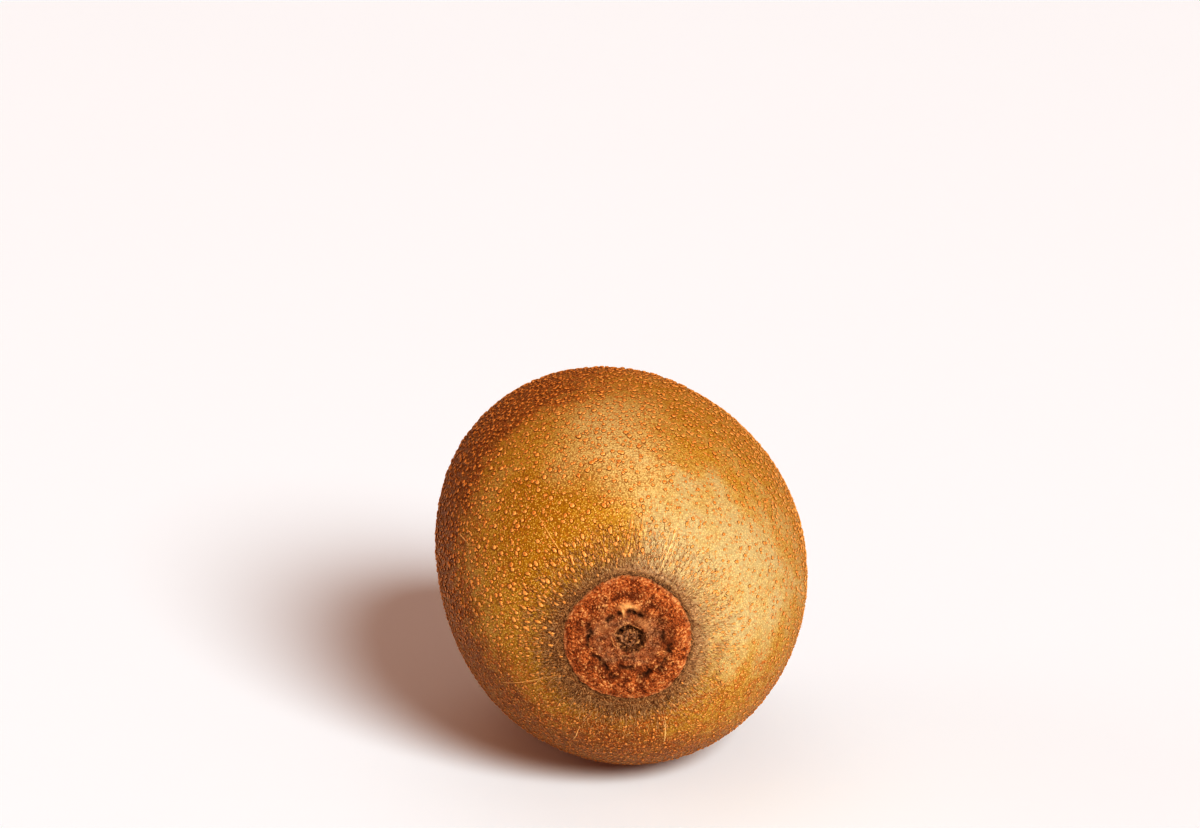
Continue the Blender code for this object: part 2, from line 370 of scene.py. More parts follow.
def skin_numbers(base, around):
    """The skin's masks: the velvet ring, the shade next to the scar, the trench, the flower end, how brown
    the skin is and how far from its palest gold, both partly its own colour and partly painted light and
    shade that follow the key light and darken the bottom, and a pale painted sheen."""
    share = share_of(base, around)
    distance = from_axis(base)
    normal = outward(base, around)
    facing_down = -normal[:, 2]
    ragged = share + 0.10 * layered_noise(base, 1.2, 41) + 0.05 * noise(base, 0.35, 43)
    ragged = ragged + 0.05 - 0.11 * np.cos(around - math.radians(-140))
    trench = bump(share + 0.014 * noise(base, 0.6, 44), TRENCH_PLACE, 0.035)
    # Painted shade: browner away from the key light, where the skin faces back or up and towards the bottom,
    # over the skin's own noisy browning.
    lit_and_unbrowned = normal @ KEY_FACING_SIDE + 0.14 * noise(base, 14, 45) + 0.07 * noise(base, 4, 46)
    lit_and_unbrowned = lit_and_unbrowned - 0.50 * rise(normal[:, 1], -0.38, 0.05) - 0.20 * rise(facing_down, 0.15, 0.60)
    blotched = 0.04 * noise(base, 9, 47) + 0.03 * noise(base, 3, 48)
    # Painted shade: browner still at the lower right.
    lower_right = rise(facing_down + blotched, 0.02, 0.40) * rise(normal[:, 0], -0.5, 0.2)
    # Painted light and shade: palest gold towards the key light, deeper gold away from it and towards the
    # bottom, over the skin's own deep gold patches.
    olive_and_shade = rise(normal @ PALE_LIT_SIDE + blotched, 1.0, 0.56)
    olive_and_shade += 0.8 * rise(normal @ GREEN_SIDE + 0.5 * blotched, 0.86, 0.99)
    olive_and_shade += 0.40 * rise(facing_down, 0.0, 0.28)
    return {
        "velvet": 1 - rise(ragged, 1.04, 1.66),
        "shade": 1 - rise(share + 0.05 * noise(base, 1.1, 40), 1.08, 1.36),
        "trench": trench * trench_strength(around),
        "flower": np.where(base[:, 1] > 0, 1 - rise(distance, 2 * MM, 7.5 * MM), 0.0),
        "brown_and_shade": np.minimum(rise(lit_and_unbrowned, 0.38, -0.38) + 0.44 * lower_right, 1.0),
        "olive_and_shade": olive_and_shade,
        # Painted sheen: a pale painted highlight where the light from above is mirrored.
        "painted_sheen": rise(normal @ SHEEN_SIDE + 0.03 * noise(base, 5, 49), 0.90, 1.0),
    }


def disc_places(count):
    """A square grid pressed into a disc: distances from 0 to 1 and angles."""
    side = np.linspace(-1, 1, count)
    across, up = np.meshgrid(side, side)
    across_wins = np.abs(across) > np.abs(up)
    ratio = np.where(across_wins, up / np.where(across == 0, 1, across), across / np.where(up == 0, 1, up))
    reach = np.where(across_wins, across, up)
    angle = np.where(across_wins, math.pi / 4 * ratio, math.pi / 2 - math.pi / 4 * ratio)
    x, z = reach * np.cos(angle), reach * np.sin(angle)
    return np.hypot(x, z).reshape(-1), np.arctan2(x, z).reshape(-1)


# The broken grooves of the scar, cut in and painted dark with shade: where each is round the axis and how
# # far it reaches either way in degrees, its distance as a share of the scar's radius, and its strength.
GROOVES = (
    (20, 17, 0.455, 1.0), (5, 5, 0.38, 0.7), (-12, 5, 0.43, 0.9), (-36, 10, 0.46, 0.8), (-70, 5, 0.66, 0.5),
    (-87, 17, 0.61, 1.0), (-135, 20, 0.57, 1.0), (-163, 9, 0.65, 0.8), (180, 15, 0.47, 0.9),
    (151, 11, 0.63, 0.9), (124, 10, 0.68, 0.8), (101, 7, 0.71, 0.9), (86, 10, 0.58, 0.8), (62, 6, 0.585, 0.4),
)


def groove_strength(base, share, around):
    """How deep in a groove each point of the scar is, from 0 to 1."""
    wander = 0.036 * noise(base, 1.0, 63) + 0.022 * noise(base, 0.40, 68)
    width = 0.038 + 0.018 * noise(base, 0.5, 69)
    strength = np.zeros_like(share)
    for place, reach, groove_share, depth in GROOVES:
        turned = np.abs((around - math.radians(place) + math.pi) % math.tau - math.pi)
        along = 1 - rise(turned, math.radians(reach) * 0.7, math.radians(reach) * 1.25)
        strength = np.maximum(strength, depth * along * bump(share + wander, groove_share, width))
    broken = 0.65 + 0.35 * rise(noise(base, 0.42, 56), -0.5, 0.15)
    return strength * broken


PIT_AT = np.array((0.66, 0.12)) * MM  # the middle of the pit, across and up from the fruit's axis


def pit_masks(base):
    """The pit, the island of cork in it and its broken rim on the side the light comes from, each from 0 to
    1.
    """
    aside, above = base[:, 0] - PIT_AT[0], base[:, 2] - PIT_AT[1]
    share = np.hypot(aside, above) / SCAR_RADIUS
    share = share + 0.030 * noise(base, 0.8, 62) + 0.024 * noise(base, 0.35, 75)
    island_share = np.hypot(aside + 0.30 * MM, above - 0.05 * MM) / SCAR_RADIUS
    island_share = island_share + 0.030 * noise(base, 0.5, 79)
    # The rim stands and is pale only on the side the light comes from.
    toward_light = 0.5 + 0.5 * np.cos(np.arctan2(aside, above) - math.radians(-125))
    broken = rise(noise(base, 0.6, 71), -0.15, 0.35)
    rim = bump(share, 0.255, 0.030) * toward_light ** 2 * broken
    return 1 - rise(share, 0.20, 0.258), 1 - rise(island_share, 0.10, 0.175), rim


def cork_grain(base):
    """The cork's lumps and its finer crumbs, each 0 between grains and up to 1.5 or 1.7 on them."""
    warp = np.stack([noise(base, 0.45, 80 + axis) for axis in range(3)], axis=-1)
    warped = base + 0.22 * MM * warp
    lump_distance, lump_tone = grains(warped, 0.50, 64)
    crumb_distance, crumb_tone = grains(warped, 0.27, 65)
    lumps = rise(0.8 - lump_distance, 0.0, 0.7) * (0.4 + 1.1 * lump_tone)
    return lumps, rise(0.8 - crumb_distance, 0.0, 0.7) * (0.3 + 1.4 * crumb_tone)


def torn_forms(base, share, around):
    """The pale flakes at the collar's foot and the ridges on the floor."""
    torn = share + 0.025 * noise(base, 0.6, 70)
    flake = bump(around, 0.10, 0.26) * bump(torn, 0.555, 0.045)
    flake += bump(around, -0.09, 0.08) * bump(torn, 0.46, 0.06)
    ridge = bump(around, 0.84, 0.36) * bump(torn, 0.40, 0.085)
    ridge += 0.7 * bump(around, -1.10, 0.24) * bump(torn, 0.43, 0.075)
    return flake, ridge


def scar_relief(base, share, around):
    """Height of the corky scar, and the masks that its looks use."""
    star = star_edge(around) + 0.03 * noise(base, 0.9, 61)
    floor = 1 - rise(share, star - 0.14, star + 0.10)
    collar = rise(share, star - 0.02, star + 0.1) * (1 - rise(share, 0.95, 1.04))
    pit, island, lit_pit_rim = pit_masks(base)
    groove = groove_strength(base, share, around)
    flake, ridge = torn_forms(base, share, around)
    lumps, crumbs = cork_grain(base)
    rough = layered_noise(base, 0.9, 66, 4)
    height = -PIT_DEPTH * pit + ISLAND_HEIGHT * island + PIT_RIM_HEIGHT * lit_pit_rim - FLOOR_DEPTH * floor
    height += PIT_TEAR * pit * layered_noise(base, 0.55, 72)
    height -= GROOVE_DEPTH * groove
    height += COLLAR_HEIGHT * bump(share, 0.80, 0.17)
    height += 0.12 * MM * noise(base, 2.2, 73) * (1 - rise(share, 0.85, 1.0))
    height += 0.10 * MM * noise(base, 1.1, 76) * floor
    inner = 1 - 0.15 * rise(share, 0.80, 0.95)
    grainy = (0.32 + 0.68 * collar * inner) * (1 - rise(share, 1.0, 1.04))
    height += grainy * (0.12 * MM * lumps + 0.11 * MM * crumbs)
    height += 0.13 * MM * rough * (1 - rise(share, 0.98, 1.04))
    rings = np.cos(share * 88 + 2.5 * noise(base, 3, 67))
    height += 0.020 * MM * rings * rise(share, 0.78, 0.88) * (1 - rise(share, 0.99, 1.03))
    height += FLAKE_HEIGHT * flake + RIDGE_HEIGHT * ridge
    frayed = share + 0.022 * noise(base, 0.9, 77) + 0.014 * noise(base, 0.35, 78)
    height -= EDGE_DROP * rise(frayed, 1.000, 1.060)
    masks = dict(floor=floor, collar=collar, pit=pit, lit_pit_rim=lit_pit_rim, groove=groove, flake=flake)
    masks.update({
        # Where painted shade lies along the step from the collar down to the floor.
        "step": bump(share, star + 0.01, 0.05),
        "island": island * (0.5 + 0.5 * rise(rough, -0.4, 0.3)),
        # How high the grain stands: its tops are painted pale as highlights and its hollows dark as shade.
        "lift": (0.45 * lumps + 0.45 * crumbs + 0.5 * rough) * (1 - 0.45 * floor) + 0.15 * floor,
        "inner": rise(share, 0.93, 0.72) * (1 - floor),
        "edge": rise(share + 0.04 * noise(base, 0.5, 74), 0.95, 1.02),
        "ridge": np.minimum(ridge, 1.0),
    })
    return height, masks


def make_scar():
    """The corky disc at the stem end."""
    reach, around = disc_places(SCAR_GRID)
    share = reach * SCAR_END
    distance = share * SCAR_RADIUS * waves(around, SCAR_OUTLINE)
    base = body_point(polar_at(distance, around), around)
    height, masks = scar_relief(base, share, around)
    corners = on_frame(base + outward(base, around) * height[:, None])
    return make_mesh("stem_scar", corners, grid_faces(SCAR_GRID, SCAR_GRID, closed=False), masks)


def local_frames(polar, around):
    """Places on the skin with its outward direction and the directions along and across the fruit."""
    base = body_point(polar, around)
    out = outward(base, around)
    place = base + out * skin_relief(base, around)[:, None]
    across = np.stack((np.cos(around), np.zeros_like(around), -np.sin(around)), axis=-1)
    along = unit(np.cross(out, across))
    along *= np.sign(along[:, 1:2])
    return place, out, along, unit(np.cross(out, along))


def even_places(count, jitter, draw):
    """Even places all over the body, each moved by a seeded shift."""
    number = np.arange(count)
    reach = jitter * math.sqrt(4 * math.pi / count)
    polar = np.arccos(1 - 2 * (number + 0.5) / count) + draw.uniform(-reach, reach, count)
    around = number * GOLDEN_ANGLE + draw.uniform(-reach, reach, count) / np.maximum(np.sin(polar), 0.05)
    return np.clip(polar, 0.01, math.pi - 0.01), around


def repeated_faces(pattern, each, count):
    """The faces of many like pieces with `each` corners, from the faces of the first."""
    first = (np.arange(count) * each)[:, None]
    faces = []
    for face in pattern:
        faces += (first + np.array(face)).tolist()
    return faces


def dome_faces(count, sides):
    """The faces of many closed domes, each with a rim ring, a shoulder ring and a top corner."""
    pattern = []
    for number in range(sides):
        after = (number + 1) % sides
        pattern.append((number, after, sides + after, sides + number))
        pattern.append((sides + number, sides + after, 2 * sides))
    pattern.append(tuple(range(sides))[::-1])
    return repeated_faces(pattern, 2 * sides + 1, count)


# Each set of lenticels: its name, how many places it tries, its smallest and largest half width in mm,
# the sides of a dome, its seed, how far its places are shifted, and how unevenly it is spread.
LENTICEL_SETS = (
    ("lenticels", 6400, (0.25, 0.42), 7, 17, 0.42, 0.62),
    ("small_lenticels", 12700, (0.13, 0.27), 5, 19, 0.48, 0.94),
    ("fine_lenticels", 5600, (0.12, 0.22), 4, 53, 0.48, 0.94),
)
DOME_RINGS = ((1.20, -0.14), (0.70, 0.92))  # a dome's rim and shoulder: shares of its size and height


def lenticel_places(wanted, seed, jitter, crowding, draw):
    """Where lenticels stand: close together by the scar and in clusters, none on the scar or the crown."""
    polar, around = even_places(wanted, jitter, draw)
    base = body_point(polar, around)
    share = share_of(base, around)
    crowded = rise(outward(base, around) @ SPARSE_SIDE, 0.93, 0.30)
    clusters = 0.5 + 0.5 * noise(base, 3.5, seed + 60)
    by_stem = 1 - rise(share, 1.45, 2.2)
    density = (1 - crowding) + crowding * np.clip(0.75 * crowded + 0.45 * clusters + 0.8 * by_stem, 0, 1)
    at_crown = (base[:, 1] > 0) & (from_axis(base) < CROWN_RADIUS)
    near_scar = share + 0.08 * draw.normal(size=len(share)) < 1.27
    keep = ~near_scar & ~at_crown & (base[:, 2] + BODY_MIDDLE[2] > 0.6 * MM)
    keep &= draw.random(len(share)) < density
    return polar[keep], around[keep]


def make_lenticels(name, wanted, sizes, sides, seed, jitter, crowding):
    """Raised corky dots of the skin, as small closed domes sunk into it, drawn out by the stem."""
    draw = np.random.default_rng(seed)
    polar, around = lenticel_places(wanted, seed, jitter, crowding, draw)
    base = body_point(polar, around)
    skin = skin_numbers(base, around)
    olive_and_shaded = np.minimum(skin["olive_and_shade"], 1)
    near = 1 - rise(share_of(base, around), 1.5, 2.3)
    facing_up = rise(outward(base, around)[:, 2], -0.35, 0.15)
    place, out, along, across = local_frames(polar, around)
    count = len(polar)
    smallest, largest = sizes
    size = (smallest + (largest - smallest) * draw.random(count) ** 1.6) * MM
    size = size * (0.66 + 0.34 * facing_up) * (0.72 + 0.28 * olive_and_shaded)
    height = size * draw.uniform(0.42, 0.68, count) * (0.70 + 0.30 * olive_and_shaded) * (1 + 0.3 * near)
    stretch = 1 + draw.uniform(0.0, 0.22, count) + near * draw.uniform(0.4, 1.7, count)
    size = size / np.sqrt(stretch)
    turn = draw.normal(0.0, 0.35, count) * (1 - 0.6 * near)
    lean = np.cos(turn)[:, None] * along + np.sin(turn)[:, None] * across
    side = np.cos(turn)[:, None] * across - np.sin(turn)[:, None] * along
    each = 2 * sides + 1
    corners = np.empty((count, each, 3))
    for ring, (wide, high) in enumerate(DOME_RINGS):
        for number in range(sides):
            angle = math.tau * number / sides
            reach = (size * wide * (1 + 0.14 * draw.uniform(-1, 1, count)))[:, None]
            step = lean * reach * stretch[:, None] * math.cos(angle) + side * reach * math.sin(angle)
            corners[:, ring * sides + number] = place + step + out * (height * high)[:, None]
    aside = lean * (size * 0.15 * draw.uniform(-1, 1, count))[:, None]
    dip = draw.uniform(0.45, 1.0, count)
    corners[:, -1] = place + out * (dip * height)[:, None] + aside
    level = np.concatenate((np.zeros(sides), np.full(sides, 0.6), (1.0,)))
    numbers = {label: np.repeat(skin[label], each) for label in SKIN_MASKS}
    numbers.update({"lenticel": np.tile(level, count), "tone": np.repeat(draw.random(count), each)})
    numbers["near"] = np.repeat(near, each)
    return make_mesh(name, on_frame(corners.reshape(-1, 3)), dome_faces(count, sides), numbers)


HAIR_CORNERS = 7
HAIR_FACES = ((0, 1, 4, 3), (1, 2, 5, 4), (2, 0, 3, 5), (3, 4, 6), (4, 5, 6), (5, 3, 6), (2, 1, 0))


def always(value):
    """A function that gives the same number for any count of hairs."""
    return lambda count: value


def make_hairs(name, polar, around, draw, lengths, widths, strays, flatness, outwards=always(1.0), short=1.0):
    """Fine bent hairs, each a three-sided spike that starts under the skin. Lengths and widths in mm
    and flatness are ranges, `strays` is how far a hair turns aside, `outwards` how much it points away
    from the stem, and `short` the share of its length that it keeps."""
    roots, out, along, across = local_frames(polar, around)
    count = len(roots)
    length = draw.uniform(*lengths, count) * short * MM
    width = draw.uniform(*widths, count) * MM
    lean = along * outwards(count) + across * draw.normal(0, strays, count)[:, None]
    lean = unit(lean) * draw.uniform(*flatness, count)[:, None]
    tones = np.repeat(draw.random(count), HAIR_CORNERS)
    upright = (0.92 / (1 + np.linalg.norm(lean, axis=1) ** 2))[:, None]
    side = unit(np.cross(out, lean))
    corners = np.empty((count, HAIR_CORNERS, 3))
    for number in range(3):
        angle = math.tau * number / 3
        ring = side * math.cos(angle) + unit(np.cross(side, out)) * math.sin(angle)
        corners[:, number] = roots + ring * (width / 2)[:, None] - out * 0.03 * MM
        middle = roots + out * upright * (0.8 * length)[:, None] + lean * (0.30 * length)[:, None]
        corners[:, 3 + number] = middle + ring * (width * 0.36)[:, None]
    corners[:, 6] = roots + out * upright * (1.1 * length)[:, None] + lean * (0.75 * length)[:, None]
    faces = repeated_faces(HAIR_FACES, HAIR_CORNERS, count)
    return make_mesh(name, on_frame(corners.reshape(-1, 3)), faces, {"tone": tones})


def scattered(count, share_low, share_high, draw):
    """Random places in a ring about the stem, given as shares of the scar's radius."""
    around = draw.uniform(0, math.tau, count)
    share = np.sqrt(draw.uniform(share_low ** 2, share_high ** 2, count))
    polar = polar_at(share * SCAR_RADIUS * waves(around, SCAR_OUTLINE), around)
    return polar, around, share


# How many hairs of each kind are tried.
VELVET_HAIRS = 17000
RIM_HAIRS = 2600
RING_FIBRES = 7600
FUZZ_HAIRS = 10000


def make_velvet():
    """The short dense fuzz of the ring round the scar. At the cork's edge it points both ways."""
    draw = np.random.default_rng(23)
    polar, around, share = scattered(VELVET_HAIRS, 1.05, 1.80, draw)
    here = skin_numbers(body_point(polar, around), around)
    density = (0.15 + 0.85 * here["velvet"]) * (0.30 + 0.70 * np.minimum(here["olive_and_shade"], 1))
    keep = draw.random(len(share)) < density
    rim_polar, rim_around, rim_share = scattered(RIM_HAIRS, 1.02, 1.08, draw)
    polar, around = np.append(polar[keep], rim_polar), np.append(around[keep], rim_around)
    at_rim = np.append(share[keep], rim_share) < 1.08

    def outwards(count):
        at_the_rim, beyond = draw.uniform(-1.3, 1.0, count), draw.uniform(-0.3, 1.6, count)
        return np.where(at_rim, at_the_rim, beyond)[:, None]

    short = np.where(at_rim, 0.7, 1.0)
    ranges = (0.30, 0.80), (0.045, 0.090), 0.8, (1.0, 1.9)
    return make_hairs("velvet_fuzz", polar, around, draw, *ranges, outwards, short)


def make_ring_fibres():
    """Longer pale fibres that lie on the ring round the scar and point away from the stem."""
    draw = np.random.default_rng(43)
    polar, around, share = scattered(RING_FIBRES, 1.05, 1.85, draw)
    upper_right = 0.35 + 0.65 * rise(np.cos(around - math.radians(45)), -0.4, 0.6)
    keep = draw.random(len(share)) < (1 - rise(share, 1.25, 1.85)) * upper_right
    ranges = (0.40, 1.10), (0.045, 0.085), 0.24, (1.5, 2.4)
    return make_hairs("ring_fibres", polar[keep], around[keep], draw, *ranges)


def make_fuzz():
    """The sparse fuzz of the rest of the skin."""
    draw = np.random.default_rng(29)
    polar, around = even_places(FUZZ_HAIRS, 0.6, draw)
    base = body_point(polar, around)
    keep = (share_of(base, around) > 1.5) & (base[:, 2] + BODY_MIDDLE[2] > 0.5 * MM)
    ranges = (0.20, 0.62), (0.020, 0.034), 0.9, (0.5, 1.8)
    return make_hairs("skin_fuzz", polar[keep], around[keep], draw, *ranges, always(0.8))


def tube(path, radii, sides):
    """Corners and faces of a closed tube along a path of points."""
    path = np.asarray(path)
    heading = unit(np.gradient(path, axis=0))
    helper = np.array((0.31, 0.17, 0.94))
    side = unit(np.cross(heading, helper))
    other = np.cross(heading, side)
    corners = []
    for number in range(len(path)):
        for step in range(sides):
            angle = math.tau * step / sides
            offset = side[number] * math.cos(angle) + other[number] * math.sin(angle)
            corners.append(path[number] + offset * radii[number])
    faces = grid_faces(len(path), sides, closed=True).tolist()
    last = (len(path) - 1) * sides
    faces.append(list(range(sides))[::-1])
    faces.append([last + step for step in range(sides)])
    return np.array(corners), faces


def join_tubes(name, tubes):
    """One object from several tubes, each given with its tone."""
    corners, faces, tones = [], [], []
    first = 0
    for (some_corners, some_faces), tone in tubes:
        corners.append(some_corners)
        faces += [[first + corner for corner in face] for face in some_faces]
        tones += [tone] * len(some_corners)
        first += len(some_corners)
    return make_mesh(name, on_frame(np.concatenate(corners)), faces, {"tone": tones})


# Each thin pale scratch: the place of its two ends, in degrees round the axis and mm from it, and its
# width in mm.
SCRATCHES = (
    ((-37.5, 19.6), (-37.0, 12.7), 0.24),
    ((26.3, 16.6), (26.9, 9.8), 0.30),
    ((24.0, 15.4), (24.8, 11.2), 0.20),
    ((29.5, 15.0), (29.9, 12.0), 0.20),
    ((9.0, 16.4), (9.6, 13.4), 0.20),
    ((-119.0, 19.5), (-119.8, 10.3), 0.24),
    ((98.6, 10.6), (100.0, 17.4), 0.18),
    ((-66.5, 25.4), (-66.3, 23.4), 0.30),
    ((155.4, 13.3), (163.0, 18.6), 0.20),
    ((-156.6, 15.5), (-156.8, 18.6), 0.22),
    ((-102.2, 13.8), (-102.6, 10.1), 0.16),
)


SCRATCH_STEPS = 26
STUBS = 30
RIM_STRANDS = 9
STYLES = 38


def make_scratches():
    """Thin healed scratches, as low ridges that lie on the skin."""
    draw = np.random.default_rng(31)
    tubes = []
    for (around_a, far_a), (around_b, far_b), width in SCRATCHES:
        share = np.linspace(0, 1, SCRATCH_STEPS)
        around = np.radians(around_a + (around_b - around_a) * share)
        distance = (far_a + (far_b - far_a) * share) * MM
        place, _, _, across = local_frames(polar_at(distance, around), around)
        wander = np.cumsum(draw.normal(0, 0.02, SCRATCH_STEPS)) * MM
        path = place + across * wander[:, None]
        radii = width / 3 * MM * (0.25 + 0.75 * np.sin(math.pi * np.clip(share, 0.02, 0.98)) ** 0.5)
        radii = radii * draw.uniform(0.75, 1.25, SCRATCH_STEPS)
        tubes.append((tube(path, radii, 6), draw.random()))
    return join_tubes("scratches", tubes)


def make_pit_strands():
    """The torn ends of the stalk's strands: stubs that stand in the pit and strands along its rim."""
    draw = np.random.default_rng(37)
    tubes = []
    floor = -HALF_LENGTH + 0.66 * MM
    for _ in range(STUBS):
        around = draw.uniform(0, math.tau)
        distance = draw.uniform(0.1, 1.6) * MM
        start = np.array((PIT_AT[0] + distance * math.sin(around), PIT_AT[1] + distance * math.cos(around)))
        bend = draw.normal(0, 0.34, 2) * MM
        lift = draw.uniform(0.20, 0.62) * MM
        steps = np.linspace(0, 1, 7)
        across = start[None, :] + bend[None, :] * steps[:, None] ** 1.5
        path = np.stack((across[:, 0], floor - lift * np.sin(math.pi * 0.7 * steps), across[:, 1]), axis=-1)
        radii = draw.uniform(0.06, 0.12) * MM * (1.1 - 0.6 * steps)
        tubes.append((tube(path, radii, 5), draw.random() * 0.8))
    for _ in range(RIM_STRANDS):
        start = draw.uniform(0, math.tau)
        steps = np.linspace(0, 1, 12)
        turn = start + draw.uniform(0.3, 0.8) * steps
        distance = (draw.uniform(1.70, 2.25) + draw.normal(0, 0.22) * steps) * MM
        height = floor - draw.uniform(0.10, 0.40) * MM - 0.1 * MM * np.sin(math.pi * steps)
        across = PIT_AT[0] + distance * np.sin(turn), PIT_AT[1] + distance * np.cos(turn)
        path = np.stack((across[0], height, across[1]), axis=-1)
        radii = draw.uniform(0.05, 0.10) * MM * (0.4 + 0.8 * np.sin(math.pi * steps))
        tubes.append((tube(path, radii, 5), 0.2 + 0.8 * draw.random()))
    return join_tubes("pit_strands", tubes)


def make_crown():
    """The tuft of dried styles and the withered sepals at the flower end."""
    draw = np.random.default_rng(41)
    tubes = []
    foot = HALF_LENGTH - 0.2 * MM
    for number in range(STYLES):
        around = math.tau * number / STYLES + draw.uniform(-0.15, 0.15)
        out = draw.uniform(1.0, 2.9) * MM
        lift = draw.uniform(0.5, 1.35) * MM
        steps = np.linspace(0, 1, 9)
        reach = 0.5 * MM + out * steps
        twist = around + draw.normal(0, 0.5) * steps
        height = foot + lift * np.sin(math.pi * 0.78 * steps) * (1.15 - 0.2 * steps)
        path = np.stack((reach * np.sin(twist), height, reach * np.cos(twist)), axis=-1)
        radii = draw.uniform(0.07, 0.13) * MM * (1.1 - 0.75 * steps)
        tubes.append((tube(path, radii, 6), draw.random()))
    return join_tubes("flower_crown", tubes)


# Materials.

class Look:
    """A material under construction. Each call adds nodes and returns their output. A name given as a
    value stands for the mesh's numbers of that name. Sizes are in mm."""

    def __init__(self, name, roughness=0.5, specular=0.5):
        self.material = bpy.data.materials.new(name)
        self.material.use_nodes = True
        self.tree = self.material.node_tree
        self.shader = self.tree.nodes["Principled BSDF"]
        self.place = self.node("TexCoord").outputs["Object"]
        self.feed("Roughness", roughness)
        self.feed("Specular IOR Level", specular)

    def node(self, kind, inputs=None, **settings):
        node = self.tree.nodes.new("ShaderNode" + kind)
        for setting, value in settings.items():
            setattr(node, setting, value)
        for socket, value in (inputs or {}).items():
            self.link(node.inputs[socket], value)
        return node

    def link(self, socket, value):
        if isinstance(value, str):
            value = self.node("Attribute", attribute_name=value).outputs["Fac"]
        if isinstance(value, bpy.types.NodeSocket):
            self.tree.links.new(value, socket)
        else:
            socket.default_value = value

    def feed(self, socket, value):
        self.link(self.shader.inputs[socket], value)

    def math(self, operation, first, second=0.0):
        return self.node("Math", {0: first, 1: second}, operation=operation).outputs[0]

    def times(self, first, second):
        return self.math("MULTIPLY", first, second)

    def plus(self, first, second):
        return self.math("ADD", first, second)

    def vector(self, operation, first, second=(0, 0, 0), output="Vector"):
        node = self.node("VectorMath", {0: first, 1: second}, operation=operation)
        return node.outputs[output]

    def rise(self, value, start, end, low=0.0, high=1.0):
        inputs = {"Value": value, "From Min": start, "From Max": end, "To Min": low, "To Max": high}
        return self.node("MapRange", inputs, interpolation_type="SMOOTHSTEP").outputs[0]

    def swing(self, value, reach):
        """Noise brought to the range from -reach to reach."""
        return self.rise(value, 0.3, 0.7, -reach, reach)

    def mix(self, share, first, second):
        node = self.node("Mix", data_type="RGBA")
        self.link(node.inputs[0], share)
        self.link(node.inputs[6], first)
        self.link(node.inputs[7], second)
        return node.outputs[2]

    def blend(self, base, tone, value, start, end, high=1.0, low=0.0):
        """Mixes a tone into the base as the value goes from start to end, from low to high."""
        return self.mix(self.rise(value, start, end, low, high), base, tone)

    def cover(self, base, tone, mask, share):
        """Lays a tone over the base where a named mask is, by `share` at most."""
        return self.mix(self.times(mask, share), base, tone)

    def noise(self, size, detail=2.0, roughness=0.5, distortion=0.0, place=None):
        inputs = {"Vector": place or self.place, "Scale": 1 / (size * MM), "Detail": detail}
        inputs.update({"Roughness": roughness, "Distortion": distortion})
        return self.node("TexNoise", inputs).outputs[0]

    def cells(self, size):
        inputs = {"Vector": self.place, "Scale": 1 / (size * MM)}
        return self.node("TexVoronoi", inputs).outputs["Distance"]

    def bump(self, height, reach, strength=1.0, under=None):
        inputs = {"Height": height, "Distance": reach * MM, "Strength": strength}
        node = self.node("Bump", inputs)
        if under is not None:
            self.link(node.inputs["Normal"], under)
        return node.outputs[0]


def colour(red, olive_and_shaded, blue):
    """A linear colour from one given as an artist would, from 0 to 255."""
    values = [channel / 255 for channel in (red, olive_and_shaded, blue)]
    linear = [v / 12.92 if v <= 0.04045 else ((v + 0.055) / 1.055) ** 2.4 for v in values]
    return (*linear, 1.0)


GOLD = colour(183, 165, 122)
OLIVE = colour(183, 142, 52)
DEEP_OLIVE = colour(166, 121, 24)
TAN_BROWN = colour(162, 104, 34)
DEEP_BROWN = colour(128, 68, 14)
SHEEN_TAN = colour(212, 190, 142)
GAP_BROWN = colour(128, 84, 34)
FOOT_SHADE = colour(112, 66, 26)
SPECK_ORANGE = colour(192, 112, 42)
SPECK_PALE = colour(240, 206, 140)
LENTICEL_CORE = colour(180, 98, 38)
LENTICEL_ORANGE = colour(214, 142, 68)
LENTICEL_PALE = colour(228, 168, 98)
VELVET_DARK = colour(102, 62, 34)
VELVET_BROWN = colour(150, 106, 70)
VELVET_GREY = colour(214, 168, 122)
VELVET_ASH = colour(188, 150, 114)
VELVET_SHADE = colour(112, 76, 48)
TRENCH_SHADE = colour(88, 64, 38)
CORK_RUST = colour(184, 111, 60)
CORK_RED = colour(162, 89, 44)
CORK_BRIGHT = colour(244, 190, 130)
CORK_DARK = colour(88, 46, 22)
FLOOR_BROWN = colour(117, 79, 53)
FLOOR_PALE = colour(174, 132, 100)
RIDGE_PALE = colour(188, 138, 94)
PIT_DARK = colour(100, 68, 42)
PIT_TAN = colour(204, 160, 112)
GROOVE_SHADE = colour(58, 38, 24)
RIM_PALE = colour(204, 154, 112)


# Each kind of fibre: its darkest and palest tone, and its roughness.
FIBRES = {
    "velvet_fibre": (colour(96, 58, 30), colour(226, 180, 128), 0.6),
    "ring_fibre": (colour(176, 126, 80), colour(246, 212, 164), 0.5),
    "fuzz_fibre": (colour(164, 102, 42), colour(212, 154, 84), 0.55),
    "scratch_cork": (colour(220, 172, 108), colour(240, 206, 148), 0.5),
    "pit_fibre": (colour(100, 64, 38), colour(182, 132, 86), 0.7),
    "dried_styles": (colour(146, 100, 62), colour(214, 170, 120), 0.7),
}


def radial_place(look, stretch):
    """Places for a material's noise whose lumps are drawn out along lines from the stem."""
    centred = look.vector("SUBTRACT", look.place, tuple(BODY_MIDDLE))
    flat = look.vector("MULTIPLY", centred, (1, 0, 1))
    distance = look.vector("LENGTH", flat, output="Value")
    around = look.vector("MULTIPLY", look.vector("NORMALIZE", flat), (RADIAL_REACH,) * 3)
    drawn = look.node("CombineXYZ", {"Y": look.math("DIVIDE", distance, stretch)}).outputs[0]
    return look.vector("ADD", around, drawn)


